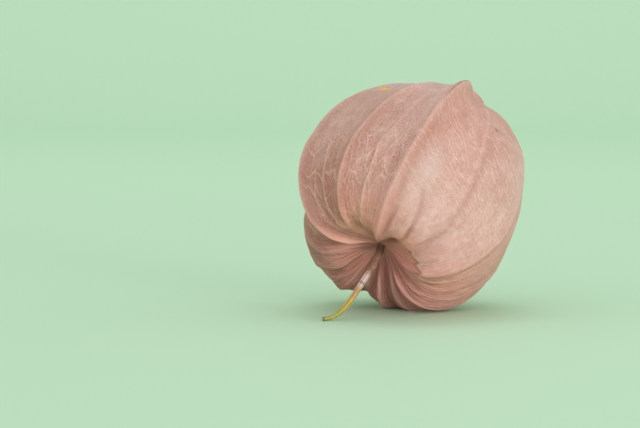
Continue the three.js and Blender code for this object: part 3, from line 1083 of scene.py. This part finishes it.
# %% The stalk's tree
def stalk_tree(inputs):
    nodes, given = new_tree("stalk", inputs)
    circle = {"Resolution": STALK_SIDES, "Radius": 1.0}
    round_profile = nodes.add("GeometryNodeCurvePrimitiveCircle", {}, circle)
    factor = nodes.add("GeometryNodeSplineParameter", output="Factor")
    furrow = 0.5 - (factor * (2 * math.pi * STALK_FURROWS)).maths("COSINE") * 0.5
    position = nodes.add("GeometryNodeInputPosition")
    squeeze = 1 - furrow * given["Furrow depth"] / given["Radius"]
    pressed = nodes.vector("SCALE", position, squeeze)
    profile = {"Geometry": round_profile, "Position": pressed}
    profile = nodes.add("GeometryNodeSetPosition", {}, profile)
    profile = store(nodes, profile, "furrow", furrow)

    kind = {"spline_type": "CATMULL_ROM"}
    line = nodes.add("GeometryNodeCurveSplineType", kind, {"Curve": given["Geometry"]})
    line = nodes.add("GeometryNodeResampleCurve", {}, {"Curve": line, "Count": STALK_RINGS})
    along = nodes.add("GeometryNodeSplineParameter", output="Factor")
    line = store(nodes, line, "along", along)
    root = (1 - smooth(along, 0.0, ROOT_END)) * given["Root flare"]
    cut = smooth(along, CUT_FROM, 1.0) * given["Cut taper"]
    lumps = (noise(nodes.join(along * 30.0, 0.0, 0.0), 1.0, detail=2.0) - 0.5) * LUMP_HEIGHT
    thickness = (given["Radius"] + root - cut + lumps) * MM
    sweep = {"Curve": line, "Profile Curve": profile, "Scale": thickness, "Fill Caps": True}
    rod = nodes.add("GeometryNodeCurveToMesh", {}, sweep)
    parts = split(position)
    above_floor = nodes.join(parts, parts.out("Y"), parts.out("Z").maths("MAXIMUM", 0.0))
    end = nodes.add("GeometryNodeInputNamedAttribute", {"data_type": "FLOAT"}, {"Name": "along"})
    frayed = noise(position, 1500.0, detail=1.0, seed=2.0) * smooth(end, FRAYED_FROM, 1.0)
    ragged = frayed * MM
    outward = nodes.join(ragged * FRAY_X, ragged * FRAY_Y, 0.0)
    rest = {"Geometry": rod, "Position": above_floor, "Offset": outward}
    close_tree(nodes, nodes.add("GeometryNodeSetPosition", {}, rest), given["Material"])
    return nodes


# %% The stalk's material
# The root end, down in the pit, is painted dark as shade.
ROOT_BROWN = (96, 62, 54)
# Each further colour, with the places along the stalk where it begins and where it is full.
STALK_COLOURS = [
    ((146, 100, 84), 0.08, 0.18),
    ((216, 188, 180), 0.32, 0.41),
    ((192, 152, 108), 0.5, 0.56),
    ((190, 164, 74), 0.61, 0.69),
    ((160, 164, 80), 0.75, 0.9),
]
CUT_BROWN = (120, 96, 56)
RING_BROWN = (95, 73, 62)
RING_AT = (0.48, 0.012)
FURROW_BROWN = (109, 84, 57)
PALE_STREAK = (229, 207, 169)


def dry_stalk():
    material, nodes = new_material("dry_stalk")
    along = nodes.add("ShaderNodeAttribute", {"attribute_name": "along"}, output="Fac")
    furrow = nodes.add("ShaderNodeAttribute", {"attribute_name": "furrow"}, output="Fac")
    place = nodes.add("ShaderNodeTexCoord", output="Object")
    streaks = noise(place, 1200.0, detail=3.0)
    colour = screen(ROOT_BROWN)
    for further, start, full in STALK_COLOURS:
        colour = blend(colour, screen(further), smooth(along, start, full))
    for further, share in (
        (CUT_BROWN, smooth(along, 0.97, 1.0) * 0.6),
        (RING_BROWN, bell(along, *RING_AT) * 0.7),
        (FURROW_BROWN, smooth(furrow, 0.5, 1.0) * 0.5),
        (PALE_STREAK, smooth(streaks, 0.5, 0.75) * 0.45),
    ):
        colour = blend(colour, screen(further), share)
    bump = nodes.add("ShaderNodeBump", {}, {"Strength": 0.3, "Distance": 0.0002, "Height": streaks})
    close_material(nodes, {
        "Base Color": colour,
        "Roughness": mix(0.5, 0.75, streaks),
        "Normal": bump,
        "Specular IOR Level": 0.4,
    })
    return material


# %% The stalk
stalk_inputs = {**STALK_SIZES, "Material": dry_stalk()}
stalk = grow("lantern_stalk", stalk_line(), stalk_tree(stalk_inputs), stalk_inputs)
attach(stalk, BODY)
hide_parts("stalk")

# %% [markdown]
# ## The studio
# The floor is one plain pale sheet that bends up behind the object, so no line shows where
# the two meet. A pale surround lights everything evenly. Two soft lights from the right and
# the front model the ribs, and the lower one reaches into the folds round the stalk. A weak
# one opens the shadows, and one more is for the backdrop. The camera has a long lens, and
# stands a little above the object.

# %% Floor and backdrop
STAGE_HALF = 3.0
BEND_FROM = 1.2
BEND_RADIUS = 0.7
BEND_STEPS = 24
BACKDROP_HEIGHT = 2.4


def pale_stage():
    """One pale sheet: the floor, which bends up behind the object into a backdrop."""
    material, nodes = new_material("pale_stage")
    sockets = {"Base Color": screen((200, 232, 202)), "Roughness": 0.7, "Specular IOR Level": 0.2}
    close_material(nodes, sockets)
    turns = [math.pi / 2 * step / BEND_STEPS for step in range(BEND_STEPS + 1)]
    bend = [
        (BEND_FROM + BEND_RADIUS * math.sin(turn), BEND_RADIUS * (1 - math.cos(turn)))
        for turn in turns
    ]
    profile = [(-STAGE_HALF, 0.0), *bend, (BEND_FROM + BEND_RADIUS, BACKDROP_HEIGHT)]
    points = [(side * STAGE_HALF, y, z) for y, z in profile for side in (-1, 1)]
    faces = [(at, at + 1, at + 3, at + 2) for at in range(0, len(points) - 2, 2)]
    mesh = bpy.data.meshes.new("stage")
    mesh.from_pydata(points, [], faces)
    mesh.materials.append(material)
    mesh.shade_smooth()
    return add_object("stage", mesh)


pale_stage()

# %% Lights
MIDDLE = (0.0, 0.0, 0.022)
# Name, place, the place it points at, width in metres, and power in watts.
LIGHTS = [
    ("key", (0.50, -0.52, 0.20), MIDDLE, 0.5, 0.5),
    ("low", (0.46, -0.56, 0.06), MIDDLE, 0.15, 1.7),
    ("front", (0.10, -0.62, 0.06), MIDDLE, 0.2, 0.5),
    ("back", (0.0, 0.3, 1.5), (0.0, 1.6, 0.6), 1.0, 5.0),
]
SURROUND = screen((236, 236, 236))
SURROUND_STRENGTH = 0.92

for name, at, to, size, power in LIGHTS:
    light = bpy.data.lights.new(name, "AREA")
    light.shape = "DISK"
    light.size = size
    light.energy = power
    lamp = add_object(name, light)
    lamp.location = at
    lamp.rotation_euler = (Vector(to) - Vector(at)).to_track_quat("-Z", "Y").to_euler()

world = bpy.data.worlds.new("surround")
world.use_nodes = True
background = world.node_tree.nodes["Background"].inputs
background["Color"].default_value = SURROUND
background["Strength"].default_value = SURROUND_STRENGTH
bpy.context.scene.world = world
bpy.context.scene.view_settings.view_transform = "Standard"

# %% Camera
PICTURE_WIDTH = 640
FOCAL_PIXELS = 1900
SENSOR_WIDTH = 36.0
DISTANCE = 0.4
LOOKING_DOWN = math.radians(4)
HUSK_RIGHT_PIXELS = 82.7
HUSK_ABOVE_PIXELS = 6.8

data = bpy.data.cameras.new("camera")
data.sensor_width = SENSOR_WIDTH
data.lens = FOCAL_PIXELS * SENSOR_WIDTH / PICTURE_WIDTH
data.clip_start = 0.01
camera = add_object("camera", data)
towards_camera = Vector((0, -math.cos(LOOKING_DOWN), math.sin(LOOKING_DOWN)))
camera.location = HUSK_CENTRE * MM + towards_camera * DISTANCE
pitch = LOOKING_DOWN + math.atan(HUSK_ABOVE_PIXELS / FOCAL_PIXELS)
yaw = math.atan(HUSK_RIGHT_PIXELS / FOCAL_PIXELS)
camera.rotation_euler = (math.pi / 2 - pitch, 0, yaw)
bpy.context.scene.camera = camera
print("camera at", [round(part, 4) for part in camera.location], "lens", round(data.lens, 1))
